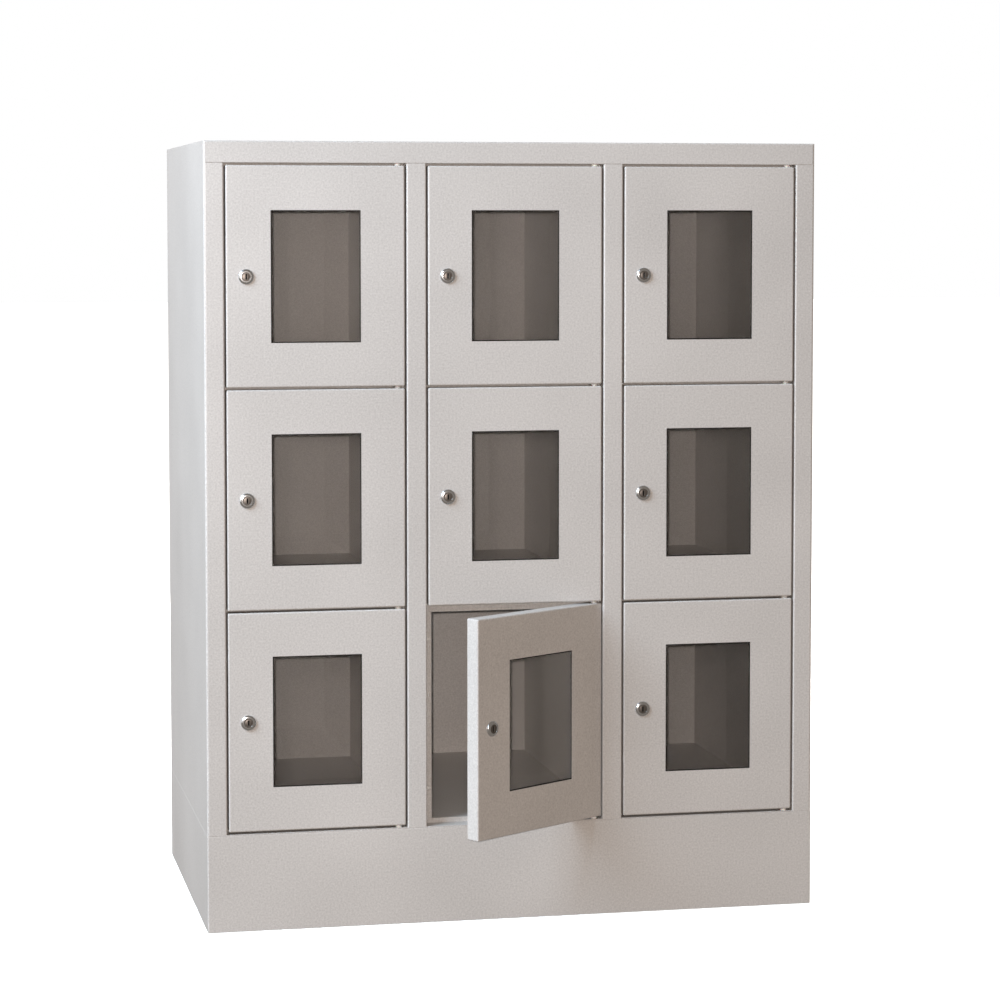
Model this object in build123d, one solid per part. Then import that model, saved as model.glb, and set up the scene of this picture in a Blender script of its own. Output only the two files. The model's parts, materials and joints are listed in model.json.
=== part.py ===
from build123d import *
import math
import os

os.makedirs("parts", exist_ok=True)

# A sheet steel compartment locker: three columns of three compartments, each with an inset
# hinged door that has a clear window and a cam lock, on a low closed plinth.
# Millimetres. X runs left to right seen from the front, Y from front to back, Z up.
# The origin is the middle of the footprint at floor level.

# Overall size
width = 836.0
depth = 500.0
height = 1050.0
columns = 3
rows = 3

# Heights and widths of the front
plinth_height = 130.0
top_rail = 29.0
post_width = 26.5
door_side_gap = 2.5
door_level_gap = 3.0

# Sheet gauges
carcass_sheet = 1.0
plinth_sheet = 1.5
wall_sheet = 0.8
door_sheet = 1.0

# Outside radii of the folds
corner_fold = 3.0
post_fold = 2.0
tight_fold = 1.2
plinth_fold = 2.0
door_fold = 2.0

# Widths of the folded edges
stop_width = 10.5
rear_flange = 18.0
plinth_return = 20.0
wall_front_flange = 8.5
wall_rear_flange = 10.0
top_lip_drop = 8.5

# Shelves and compartment floor
shelf_rise = 18.0
shelf_lip_drop = 10.0
shelf_return = 12.0
shelf_rear_flange = 12.0
floor_rise = 6.5
fit_play = 0.5
seam_gap = 0.2

# Doors
door_depth = 19.5
swing_room = 4.0
door_rear_lip = 14.0
window_side_margin = 59.2
window_level_margin = 58.8
pane_thickness = 3.0
pane_overlap = 12.0

# Pin hinges
pin_radius = 2.5
pin_inset = 9.0
pin_setback = 6.5
pin_reach = 5.0
pin_play = 0.05
pin_chamfer = 0.4
tab_width = 9.0
tab_thickness = 1.2
washer_radius = 4.0
axial_play = 0.2

# Cam locks
lock_inset = 26.5
collar_radius = 10.25
collar_height = 3.0
collar_rim = 1.0
collar_face_radius = 7.6
barrel_radius = 8.0
barrel_play = 0.1
nut_flats = 20.0
nut_thickness = 4.0
plug_radius = 5.75
plug_play = 0.05
plug_recess = 0.4
key_slot_width = 1.8
key_slot_height = 7.0
key_slot_depth = 2.5
cam_gap = 0.5
cam_thickness = 2.0
cam_width = 14.0
cam_reach = 26.0
shank_side = 7.0
cam_screw_radius = 5.0
cam_screw_head = 2.5

# Rubber door buffers
buffer_radius = 3.0
buffer_gap = 0.3
buffer_inset = 45.0

# The one door that stands ajar: its column from the left and its row from the top
ajar_compartment = (2, 3)
ajar_angle = 33.5

# How far a cutting block runs past the sheet that it cuts
overrun = 5.0

# Places worked out from the sizes above
front = -depth / 2
back = depth / 2
left = -width / 2
right = width / 2
back_panel_front = back - 2 * carcass_sheet
opening_width = (width - (columns + 1) * post_width) / columns
opening_bottom = plinth_height + carcass_sheet
opening_top = height - top_rail
door_height = (opening_top - opening_bottom - (rows + 1) * door_level_gap) / rows
door_width = opening_width - 2 * door_side_gap
lip_front = front + door_depth + swing_room
stop_front = lip_front + carcass_sheet
wall_front = stop_front + carcass_sheet
cam_front = wall_front + wall_sheet + cam_gap
floor_top = opening_bottom + floor_rise
under_roof = height - carcass_sheet
pin_y = front + pin_setback


def opening_left(column):
    """Left edge of a column's openings, columns counted from 1."""
    return left + post_width + (column - 1) * (opening_width + post_width)


def opening_right(column):
    """Right edge of a column's openings."""
    return opening_left(column) + opening_width


def gap_middle(level):
    """Height of the middle of a gap above or below a door, level 0 at the bottom."""
    return opening_bottom + door_level_gap / 2 + level * (door_height + door_level_gap)


def pin_x(column):
    """Where a column's hinge pins stand."""
    return opening_right(column) - door_side_gap - pin_inset


def block(x0, x1, y0, y1, z0, z1):
    """A box between two corners."""
    corner = (Align.MIN, Align.MIN, Align.MIN)
    return Pos(x0, y0, z0) * Box(x1 - x0, y1 - y0, z1 - z0, align=corner)


def upright_rod(x, y, z0, z1, radius):
    """A cylinder along Z."""
    foot = (Align.CENTER, Align.CENTER, Align.MIN)
    return Pos(x, y, z0) * Cylinder(radius, z1 - z0, align=foot)


def level_rod(x, z, y0, y1, radius):
    """A cylinder along Y."""
    foot = (Align.CENTER, Align.CENTER, Align.MIN)
    return Pos(x, y0, z) * Rot(-90, 0, 0) * Cylinder(radius, y1 - y0, align=foot)


def filleted_line(points, radii):
    """A run of straight lines through the points with an arc at each corner."""
    if len(points) == 2:
        return Line(*points)
    return FilletPolyline(*points, radius=radii)


def sheet_section(points, gauge, folds):
    """The section of a folded sheet that lies on the left of a path of square corners.

    The other side of the sheet is the path moved left by the gauge. Each fold's outside
    radius is given, and its inside radius is that less the gauge.
    """
    steps = []
    for start, end in zip(points, points[1:]):
        length = math.dist(start, end)
        steps.append(((end[0] - start[0]) / length, (end[1] - start[1]) / length))
    shifts = [(-step[1] * gauge, step[0] * gauge) for step in steps]
    moved = [(points[0][0] + shifts[0][0], points[0][1] + shifts[0][1])]
    path_radii = []
    moved_radii = []
    for index in range(1, len(points) - 1):
        before, after = shifts[index - 1], shifts[index]
        corner = points[index]
        moved.append((corner[0] + before[0] + after[0], corner[1] + before[1] + after[1]))
        turn = steps[index - 1][0] * steps[index][1] - steps[index - 1][1] * steps[index][0]
        outside = folds[index - 1]
        inside = outside - gauge
        path_radii.append(outside if turn > 0 else inside)
        moved_radii.append(inside if turn > 0 else outside)
    moved.append((points[-1][0] + shifts[-1][0], points[-1][1] + shifts[-1][1]))
    path = filleted_line(points, path_radii)
    other = filleted_line(moved, moved_radii)
    ends = [Line(points[0], moved[0]), Line(points[-1], moved[-1])]
    return make_face(path.edges() + other.edges() + [ends[0].edge(), ends[1].edge()])


def upright_sheet(points, gauge, folds, z0, z1):
    """A folded sheet whose plan section runs straight up."""
    return Pos(0, 0, z0) * extrude(sheet_section(points, gauge, folds), amount=z1 - z0)


def crosswise_sheet(points, gauge, folds, x0, x1):
    """A folded sheet whose side section, in Y and Z, runs from left to right."""
    profile = extrude(sheet_section(points, gauge, folds), amount=x1 - x0)
    return Pos(x0, 0, 0) * (Plane.YZ * profile)


def rounded_front_box(size_x, size_y, size_z, radius):
    """A box with every edge rounded except the four of its rear face."""
    body = block(0, size_x, 0, size_y, 0, size_z)
    rear_edges = body.faces().sort_by(Axis.Y)[-1].edges()
    rounded = [edge for edge in body.edges() if edge not in rear_edges]
    return fillet(rounded, radius)


def save(name, *pieces):
    """Writes one node, of one solid or of several separate ones."""
    solids = [solid for piece in pieces for solid in piece.solids()]
    shape = solids[0] if len(solids) == 1 else Compound(children=solids)
    shape.label = name
    export_step(shape, "parts/" + name + ".step")


def make_plinth():
    """A closed ring of sheet, with a flat return turned inwards at its top and its base."""
    outside = block(left, right, front, back, 0, plinth_height)
    upright_edges = outside.edges().filter_by(Axis.Z)
    outside = fillet(upright_edges, plinth_fold)
    outside = fillet(outside.faces().sort_by(Axis.Z)[-1].edges(), tight_fold)
    inside = block(
        left + plinth_sheet,
        right - plinth_sheet,
        front + plinth_sheet,
        back - plinth_sheet,
        plinth_sheet,
        plinth_height - plinth_sheet,
    )
    middle = block(
        left + plinth_return,
        right - plinth_return,
        front + plinth_return,
        back - plinth_return,
        -overrun,
        plinth_height + overrun,
    )
    return outside - inside - middle


def make_left_side():
    """The left side in one sheet: rear flange, side, corner, front post and door stop."""
    inner = left + post_width
    path = [
        (left + rear_flange, back),
        (left, back),
        (left, front),
        (inner, front),
        (inner, stop_front),
        (inner + stop_width, stop_front),
    ]
    folds = [tight_fold, corner_fold, post_fold, tight_fold]
    sheet = upright_sheet(path, carcass_sheet, folds, plinth_height, under_roof)
    reach = inner + stop_width + overrun
    over_ledge = block(
        left + carcass_sheet, reach, front - overrun, lip_front, 0, opening_bottom
    )
    over_floor = block(
        left + carcass_sheet,
        reach,
        lip_front - fit_play,
        wall_front + overrun,
        0,
        floor_top,
    )
    beside_rail = block(
        left + corner_fold, reach, front - overrun, wall_front + overrun, opening_top, height
    )
    return sheet - over_ledge - over_floor - beside_rail


def make_mullion(number):
    """A hat-shaped post between two columns, with a door stop on each side."""
    inner_left = opening_right(number)
    inner_right = inner_left + post_width
    path = [
        (inner_left - stop_width, stop_front),
        (inner_left, stop_front),
        (inner_left, front),
        (inner_right, front),
        (inner_right, stop_front),
        (inner_right + stop_width, stop_front),
    ]
    folds = [tight_fold, post_fold, post_fold, tight_fold]
    sheet = upright_sheet(path, carcass_sheet, folds, opening_bottom, opening_top)
    over_floor = block(
        inner_left - stop_width - overrun,
        inner_right + stop_width + overrun,
        lip_front - fit_play,
        wall_front + overrun,
        opening_bottom - overrun,
        floor_top,
    )
    return sheet - over_floor


def make_back_panel():
    """The flat back, set in front of the rear flanges of the sides and the roof."""
    return block(
        left + carcass_sheet + fit_play,
        right - carcass_sheet - fit_play,
        back_panel_front,
        back_panel_front + carcass_sheet,
        plinth_height,
        under_roof - fit_play,
    )


def make_roof():
    """The roof in one sheet: rear flange, top, front rail, return and the stop lips."""
    path = [
        (back, height - rear_flange),
        (back, height),
        (front, height),
        (front, opening_top),
        (lip_front, opening_top),
        (lip_front, opening_top - top_lip_drop),
    ]
    folds = [tight_fold, post_fold, tight_fold, tight_fold]
    sheet = crosswise_sheet(path, carcass_sheet, folds, left, right)
    plan = block(left, right, front, back, 0, height + overrun)
    plan = fillet(plan.edges().filter_by(Axis.Z).group_by(Axis.Y)[0], corner_fold)
    plan = fillet(plan.edges().filter_by(Axis.Z).sort_by(Axis.Y)[-2:], tight_fold)
    sheet = sheet & plan
    for side in (left, right):
        inward = 1 if side == left else -1
        corner = [side, side + inward * (corner_fold + seam_gap)]
        sheet -= block(
            min(corner), max(corner), front - overrun, wall_front, 0, under_roof
        )
        end = [side, side + inward * carcass_sheet]
        sheet -= block(min(end), max(end), front - overrun, back - carcass_sheet, 0, under_roof)
        flange = [side, side + inward * (rear_flange + fit_play)]
        sheet -= block(
            min(flange), max(flange), back - 2 * carcass_sheet, back + overrun, 0, under_roof
        )
    for number in range(columns + 1):
        post_left = left + number * (opening_width + post_width)
        sheet -= block(
            post_left - fit_play,
            post_left + post_width + fit_play,
            front - overrun,
            wall_front,
            opening_top - top_lip_drop - overrun,
            opening_top,
        )
    for column in range(1, columns + 1):
        hole_top = opening_top + carcass_sheet + overrun
        sheet -= upright_rod(pin_x(column), pin_y, opening_top - overrun, hole_top, pin_radius)
    return sheet


def make_bottom_panel():
    """The compartment floor: a front ledge under the doors, a low riser and the floor."""
    path = [
        (back_panel_front, plinth_height),
        (back_panel_front, floor_top),
        (lip_front, floor_top),
        (lip_front, opening_bottom),
        (front, opening_bottom),
    ]
    folds = [tight_fold, tight_fold, tight_fold]
    sheet = crosswise_sheet(
        path, carcass_sheet, folds, left + carcass_sheet, right - carcass_sheet
    )
    for column in range(1, columns + 1):
        hole_top = opening_bottom + overrun
        sheet -= upright_rod(pin_x(column), pin_y, plinth_height - overrun, hole_top, pin_radius)
    return sheet


def make_wall(column, side):
    """One side wall of a column, side 1 for its left wall and -1 for its right one."""
    face = opening_left(column) if side > 0 else opening_right(column)
    path = [
        (face + side * wall_front_flange, wall_front + wall_sheet),
        (face, wall_front + wall_sheet),
        (face, back_panel_front),
        (face - side * wall_rear_flange, back_panel_front),
    ]
    if side < 0:
        path.reverse()
    folds = [tight_fold, tight_fold]
    return upright_sheet(path, wall_sheet, folds, floor_top, under_roof)


def make_shelf(column, level):
    """A shelf: rear flange, top, front lip behind the gap of two doors, and its return.

    The lip lies on the door stops, and carries the hinge tab that reaches into the gap.
    """
    middle = gap_middle(level)
    top = middle + shelf_rise
    base = middle - shelf_lip_drop
    path = [
        (back_panel_front, top - shelf_rear_flange),
        (back_panel_front, top),
        (lip_front, top),
        (lip_front, base),
        (lip_front + shelf_return, base),
    ]
    folds = [tight_fold, post_fold, tight_fold]
    x0 = opening_left(column) + fit_play
    x1 = opening_right(column) - fit_play
    shelf = crosswise_sheet(path, carcass_sheet, folds, x0, x1)
    notch_back = wall_front + wall_sheet + fit_play
    notch = stop_width + fit_play
    for notch_left in (opening_left(column), opening_right(column) - notch):
        shelf -= block(
            notch_left,
            notch_left + notch,
            stop_front,
            notch_back,
            base - overrun,
            top + overrun,
        )
    tab_base = middle - tab_thickness / 2
    tab_top = middle + tab_thickness / 2
    pin = pin_x(column)
    tab_rear = lip_front + carcass_sheet / 2
    tab = block(pin - tab_width / 2, pin + tab_width / 2, pin_y, tab_rear, tab_base, tab_top)
    tab += upright_rod(pin, pin_y, tab_base, tab_top, tab_width / 2)
    shelf += tab
    return shelf - upright_rod(pin, pin_y, tab_base - overrun, tab_top + overrun, pin_radius)


def make_pin(column, level):
    """A hinge pin, which stands in the doors above and below its gap."""
    low = gap_middle(level) - door_level_gap / 2 - pin_reach
    high = gap_middle(level) + door_level_gap / 2 + pin_reach
    if level == 0:
        low = plinth_height
    if level == rows:
        high = opening_top + carcass_sheet
    pin = upright_rod(pin_x(column), pin_y, low, high, pin_radius)
    return chamfer(pin.edges().filter_by(GeomType.CIRCLE), pin_chamfer)


def make_washers(column, level):
    """The washers round one hinge pin, which fill its gap to a little play."""
    middle = gap_middle(level)
    low = middle - door_level_gap / 2
    high = middle + door_level_gap / 2
    if level == 0:
        spans = [(low, high - axial_play)]
    elif level == rows:
        spans = [(low + axial_play, high)]
    else:
        spans = [
            (low + axial_play, middle - tab_thickness / 2),
            (middle + tab_thickness / 2, high - axial_play),
        ]
    x = pin_x(column)
    return [
        upright_rod(x, pin_y, z0, z1, washer_radius) - upright_rod(x, pin_y, z0, z1, pin_radius)
        for z0, z1 in spans
    ]


def make_buffers(column, row):
    """Two rubber buffers on the door stop of one opening's lock side."""
    x = opening_left(column) + stop_width / 2
    base = gap_middle(rows - row) + door_level_gap / 2
    heights = (base + buffer_inset, base + door_height - buffer_inset)
    near = front + door_depth + buffer_gap
    return [level_rod(x, z, near, stop_front, buffer_radius) for z in heights]


# The pieces of a door are made on the closed door's own axes: X from its lock edge,
# Y back from its front face, Z up from its lower edge.
pin_in_door_x = door_width - pin_inset
lock_z = door_height / 2
cam_front_in_door = cam_front - front
lock_bore = plug_radius + plug_play


def make_door_leaf():
    """A folded steel tray, open at the back, with its window, lock and pin holes."""
    leaf = rounded_front_box(door_width, door_depth, door_height, door_fold)
    hollow = rounded_front_box(
        door_width - 2 * door_sheet,
        door_depth - 2 * door_sheet,
        door_height - 2 * door_sheet,
        door_fold - door_sheet,
    )
    leaf -= Pos(door_sheet, door_sheet, door_sheet) * hollow
    leaf -= block(
        door_rear_lip,
        door_width - door_rear_lip,
        door_depth - 2 * door_sheet,
        door_depth + overrun,
        door_rear_lip,
        door_height - door_rear_lip,
    )
    leaf -= block(
        window_side_margin,
        door_width - window_side_margin,
        -overrun,
        2 * door_sheet,
        window_level_margin,
        door_height - window_level_margin,
    )
    hole_radius = barrel_radius + barrel_play
    leaf -= level_rod(lock_inset, lock_z, -overrun, 2 * door_sheet, hole_radius)
    for z in (0, door_height):
        hole_radius = pin_radius + pin_play
        leaf -= upright_rod(
            pin_in_door_x, pin_setback, z - 2 * door_sheet, z + 2 * door_sheet, hole_radius
        )
    return leaf


def make_pane():
    """The clear pane, flat against the back of the door's front sheet."""
    side_margin = window_side_margin - pane_overlap
    level_margin = window_level_margin - pane_overlap
    return block(
        side_margin,
        door_width - side_margin,
        door_sheet,
        door_sheet + pane_thickness,
        level_margin,
        door_height - level_margin,
    )


def make_lock_housing():
    """The turned collar and barrel in one piece, and the nut behind the front sheet."""
    barrel_end = cam_front_in_door - cam_gap / 2
    outline = Polyline(
        (collar_radius, -collar_rim),
        (collar_radius, 0),
        (barrel_radius, 0),
        (barrel_radius, barrel_end),
        (lock_bore, barrel_end),
        (lock_bore, -collar_height),
        (collar_face_radius, -collar_height),
    )
    dome = RadiusArc(
        (collar_face_radius, -collar_height),
        (collar_radius, -collar_rim),
        -(collar_height - collar_rim + collar_radius - collar_face_radius) / 2 * math.sqrt(2),
    )
    section = make_face(outline.edges() + [dome.edge()])
    body = Pos(lock_inset, 0, lock_z) * revolve(section, Axis.Y)
    nut_corner = nut_flats / math.sqrt(3)
    nut = extrude(RegularPolygon(nut_corner, 6), amount=nut_thickness)
    nut = Pos(lock_inset, door_sheet, lock_z) * Rot(-90, 0, 0) * nut
    nut -= level_rod(
        lock_inset, lock_z, 0, door_sheet + nut_thickness + overrun, barrel_radius
    )
    return [body, nut]


def make_lock_cam():
    """The key plug, the cam plate on its square shank and the screw that holds it."""
    plug_face = plug_recess - collar_height
    plug = level_rod(lock_inset, lock_z, plug_face, cam_front_in_door, plug_radius)
    plug += block(
        lock_inset - shank_side / 2,
        lock_inset + shank_side / 2,
        cam_front_in_door,
        cam_front_in_door + cam_thickness,
        lock_z - shank_side / 2,
        lock_z + shank_side / 2,
    )
    plug -= block(
        lock_inset - key_slot_width / 2,
        lock_inset + key_slot_width / 2,
        plug_face - overrun,
        plug_face + key_slot_depth,
        lock_z - key_slot_height / 2,
        lock_z + key_slot_height / 2,
    )
    cam_rear = cam_front_in_door + cam_thickness
    cam = level_rod(lock_inset, lock_z, cam_front_in_door, cam_rear, cam_width / 2)
    cam += block(
        lock_inset - cam_width / 2,
        lock_inset + cam_width / 2,
        cam_front_in_door,
        cam_rear,
        lock_z - cam_reach,
        lock_z,
    )
    cam -= block(
        lock_inset - shank_side / 2,
        lock_inset + shank_side / 2,
        cam_front_in_door - overrun,
        cam_rear + overrun,
        lock_z - shank_side / 2,
        lock_z + shank_side / 2,
    )
    screw = level_rod(lock_inset, lock_z, cam_rear, cam_rear + cam_screw_head, cam_screw_radius)
    return [plug, cam, screw]


def hang(pieces, column, row):
    """Sets a door's pieces in their opening, swung open on the pins if it stands ajar."""
    place = Pos(
        opening_left(column) + door_side_gap, front, gap_middle(rows - row) + door_level_gap / 2
    )
    if (column, row) == ajar_compartment:
        pivot = Pos(pin_x(column), pin_y, 0)
        place = pivot * Rot(0, 0, ajar_angle) * pivot.inverse() * place
    return [place * piece for piece in pieces]


save("plinth", make_plinth())
left_side = make_left_side()
save("left_side_panel", left_side)
save("right_side_panel", mirror(left_side, Plane.YZ))
save("back_panel", make_back_panel())
save("roof_panel", make_roof())
save("bottom_panel", make_bottom_panel())
for number in range(1, columns):
    save(f"mullion_{number}", make_mullion(number))
for column in range(1, columns + 1):
    save(f"column_{column}_left_wall", make_wall(column, 1))
    save(f"column_{column}_right_wall", make_wall(column, -1))
    for level in range(1, rows):
        save(f"shelf_{column}_{rows - level}", make_shelf(column, level))

levels = range(rows + 1)
all_columns = range(1, columns + 1)
save("hinge_pins", *[make_pin(column, level) for column in all_columns for level in levels])
save(
    "hinge_washers",
    *[
        washer
        for column in all_columns
        for level in levels
        for washer in make_washers(column, level)
    ],
)
save(
    "door_buffers",
    *[
        buffer
        for column in all_columns
        for row in range(1, rows + 1)
        for buffer in make_buffers(column, row)
    ],
)

door_leaf = make_door_leaf()
pane = make_pane()
lock_housing = make_lock_housing()
lock_cam = make_lock_cam()
for column in all_columns:
    for row in range(1, rows + 1):
        place_name = f"{column}_{row}"
        save("door_" + place_name, *hang([door_leaf], column, row))
        save("window_pane_" + place_name, *hang([pane], column, row))
        save("lock_housing_" + place_name, *hang(lock_housing, column, row))
        save("lock_cam_" + place_name, *hang(lock_cam, column, row))
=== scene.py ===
"""The looks of a sheet steel compartment locker, built round its packed CAD model.

Metres. X runs left to right seen from the front, Y from front to back, Z up from the floor.
The folded sheet pieces are the CAD's own and get their coat here. The locks, hinge washers,
door buffers, glazing frames and rivets are surfaces worked out with numpy.
"""

import json
import math

import bpy
import numpy as np
from bpy.props import FloatProperty, FloatVectorProperty, IntProperty, PointerProperty
from bpy.types import Operator, Panel, PropertyGroup
from mathutils import Matrix, Vector


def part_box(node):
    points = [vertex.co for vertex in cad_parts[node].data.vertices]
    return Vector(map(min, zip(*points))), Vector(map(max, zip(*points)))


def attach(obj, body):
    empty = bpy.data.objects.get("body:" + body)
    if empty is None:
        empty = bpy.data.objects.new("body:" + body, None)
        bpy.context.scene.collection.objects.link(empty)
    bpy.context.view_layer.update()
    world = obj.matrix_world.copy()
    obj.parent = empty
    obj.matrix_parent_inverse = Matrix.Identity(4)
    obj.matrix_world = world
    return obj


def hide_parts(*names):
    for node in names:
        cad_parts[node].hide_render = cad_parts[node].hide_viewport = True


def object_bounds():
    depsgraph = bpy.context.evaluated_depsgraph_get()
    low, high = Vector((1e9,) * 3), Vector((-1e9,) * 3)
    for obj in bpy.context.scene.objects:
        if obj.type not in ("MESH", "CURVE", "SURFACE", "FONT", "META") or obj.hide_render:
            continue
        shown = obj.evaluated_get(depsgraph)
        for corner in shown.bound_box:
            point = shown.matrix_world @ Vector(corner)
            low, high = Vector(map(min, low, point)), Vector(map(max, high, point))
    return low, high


bl_info = {
    "name": "Compartment Locker",
    "version": (1, 0, 0),
    "blender": (4, 5, 0),
    "location": "View3D > Sidebar > Locker",
    "description": "Finishes and fittings of a steel compartment locker with window doors",
    "category": "Object",
}

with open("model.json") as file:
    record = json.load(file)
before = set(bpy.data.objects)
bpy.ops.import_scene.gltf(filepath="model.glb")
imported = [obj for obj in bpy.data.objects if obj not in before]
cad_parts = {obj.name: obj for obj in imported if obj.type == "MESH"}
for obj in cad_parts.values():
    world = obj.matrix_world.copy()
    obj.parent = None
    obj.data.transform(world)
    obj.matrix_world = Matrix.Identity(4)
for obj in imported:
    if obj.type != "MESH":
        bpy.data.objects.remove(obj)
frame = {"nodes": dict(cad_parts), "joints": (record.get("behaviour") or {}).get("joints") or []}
cad_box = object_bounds()

MM = 0.001
JOINTS = {joint["name"]: joint for joint in frame["joints"]}
PLACES = [f"{column}_{row}" for column in (1, 2, 3) for row in (1, 2, 3)]
CARCASS = "carcass"

# Sizes that the fittings share with the CAD, in millimetres
DOOR_WIDTH = 238.33
DOOR_SHEET = 1.0
DOOR_SIDE_GAP = 2.5
DOOR_LEVEL_GAP = 3.0
PIN_INSET = 9.0
LOCK_INSET = 26.5

# Rows are counted from the top
HIGHEST_ROW = 1
LOWEST_ROW = 3

# The corners of a square, going round, in units of half its width
SQUARE = np.array([(1, 1), (-1, 1), (-1, -1), (1, -1)])
# Nuts and screws are chamfered at 30 degrees
CHAMFER_SLOPE = math.tan(math.radians(30))
# An edge between faces that meet at more than this is drawn sharp
SHARP_DEGREES = 35.0


# Colours


def linear(hex_colour):
    """An sRGB hex colour as linear red, green and blue."""
    parts = [int(hex_colour[i : i + 2], 16) / 255 for i in (1, 3, 5)]
    return tuple(c / 12.92 if c <= 0.04045 else ((c + 0.055) / 1.055) ** 2.4 for c in parts)


# Surfaces worked out as whole arrays


def rounded_loop(corners, radii, steps=5):
    """A closed outline with an arc at each corner.

    The arc's ends lie radius / tan(half the corner's angle) from the corner. Between them it
    turns evenly about its centre, which is on the corner's bisector.
    """
    corner = np.asarray(corners, float)
    radius = np.broadcast_to(np.asarray(radii, float), len(corner))[:, None]
    back = np.roll(corner, 1, 0) - corner
    ahead = np.roll(corner, -1, 0) - corner
    back /= np.linalg.norm(back, axis=1, keepdims=True)
    ahead /= np.linalg.norm(ahead, axis=1, keepdims=True)
    half = np.arccos(np.clip((back * ahead).sum(1, keepdims=True), -1, 1)) / 2
    middle = (back + ahead) / np.linalg.norm(back + ahead, axis=1, keepdims=True)
    centre = corner + middle * radius / np.sin(half)
    start = corner + back * radius / np.tan(half) - centre
    end = corner + ahead * radius / np.tan(half) - centre
    turn = (np.pi - 2 * half)[:, None]
    share = np.linspace(0, 1, steps + 1)[None, :, None]
    arc = np.sin((1 - share) * turn) * start[:, None] + np.sin(share * turn) * end[:, None]
    return (centre[:, None] + arc / np.sin(turn)).reshape(-1, 2)


def even_loop(corners, radii, count):
    """The same outline as evenly spaced points, of which the first is the nearest to +X."""
    finer = 20
    loop = rounded_loop(corners, radii)
    loop = np.vstack([loop, loop[:1]])
    along = np.r_[0, np.cumsum(np.linalg.norm(np.diff(loop, axis=0), axis=1))]
    fine = np.linspace(0, along[-1], finer * count, endpoint=False)
    points = np.stack([np.interp(fine, along, loop[:, i]) for i in (0, 1)], 1)
    first = np.argmin(np.abs(np.arctan2(points[:, 1], points[:, 0])))
    return np.roll(points, -first, 0)[::finer]


def circle(radius, count):
    """Evenly spaced points of a circle, the first on +X."""
    angle = np.linspace(0, 2 * np.pi, count, endpoint=False)
    return radius * np.stack([np.cos(angle), np.sin(angle)], 1)


def grid_faces(rows, columns, closed):
    """Triangles between the neighbours of a grid whose columns go right round.

    With closed, the last row also joins the first.
    """
    i, j = np.meshgrid(
        np.arange(rows if closed else rows - 1), np.arange(columns), indexing="ij"
    )
    i, j = i.ravel(), j.ravel()
    i_next, j_next = (i + 1) % rows, (j + 1) % columns
    a, b = i * columns + j, i * columns + j_next
    c, d = i_next * columns + j_next, i_next * columns + j
    return np.vstack([np.stack([a, b, c], 1), np.stack([a, c, d], 1)])


def facing_out(points, faces):
    """The faces turned so that the volume they enclose is positive."""
    a, b, c = (points[faces[:, i]] for i in (0, 1, 2))
    return faces if (a * np.cross(b, c)).sum() > 0 else faces[:, ::-1]


def shell(rows, closed=False):
    """A closed surface through rows of points, each row a ring of as many points.

    With closed, the last ring joins the first, as round a washer. Otherwise each end is shut
    by a fan to the middle of its ring.
    """
    rings = np.asarray(rows, float)
    count, around = rings.shape[:2]
    points = rings.reshape(-1, 3)
    faces = grid_faces(count, around, closed)
    if not closed:
        ends = rings[[0, -1]].mean(1)
        here = np.arange(around)
        after = (here + 1) % around
        first, last = len(points), len(points) + 1
        far = (count - 1) * around
        fans = [
            np.stack([np.full(around, first), after, here], 1),
            np.stack([np.full(around, last), far + here, far + after], 1),
        ]
        points = np.vstack([points, ends])
        faces = np.vstack([faces, *fans])
    return points, facing_out(points, faces)


def ring_rows(outlines, depths):
    """Rows for shell: each outline, X and Z, set at its own depth in Y."""
    outlines = np.asarray(outlines, float)
    depth = np.broadcast_to(np.asarray(depths, float)[:, None], outlines.shape[:2])
    return np.stack([outlines[..., 0], depth, outlines[..., 1]], -1)


def turned_rows(profile, count):
    """Rows of a turned piece: each point of its profile, radius and depth, swept round Y."""
    profile = np.asarray(profile, float)
    return ring_rows(profile[:, :1, None] * circle(1.0, count)[None], profile[:, 1])


def angled_rows(reach, depth, count):
    """Rows for shell that differ round Y: each has its reach and its depth at each angle.

    A row that is given as one number has it at all its angles.
    """
    reach = np.stack([np.broadcast_to(row, count) for row in reach])
    depth = np.stack([np.broadcast_to(row, count) for row in depth])
    outlines = reach[..., None] * circle(1.0, count)
    return np.stack([outlines[..., 0], depth, outlines[..., 1]], -1)


def hexagon_reach(flats, count):
    """How far a hexagon's edge lies from its centre at each angle: half its flats divided by
    the cosine of the angle from the nearest flat's middle."""
    angle = np.linspace(0, 2 * np.pi, count, endpoint=False)
    step = np.pi / 3
    return flats / 2 / np.cos((angle + step / 2) % step - step / 2)


def copies(points, faces, places):
    """The same shell at several places, as one array of points and one of faces."""
    places = np.asarray(places, float)
    points_all = (points[None] + places[:, None]).reshape(-1, 3)
    shift = np.arange(len(places))[:, None, None] * len(points)
    return points_all, (faces[None] + shift).reshape(-1, 3)


def joined(shells):
    """Several shells as one array of points and one of faces."""
    starts = np.cumsum([0] + [len(points) for points, _ in shells[:-1]])
    points = np.vstack([points for points, _ in shells])
    faces = np.vstack([faces + start for start, (_, faces) in zip(starts, shells)])
    return points, faces


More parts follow.
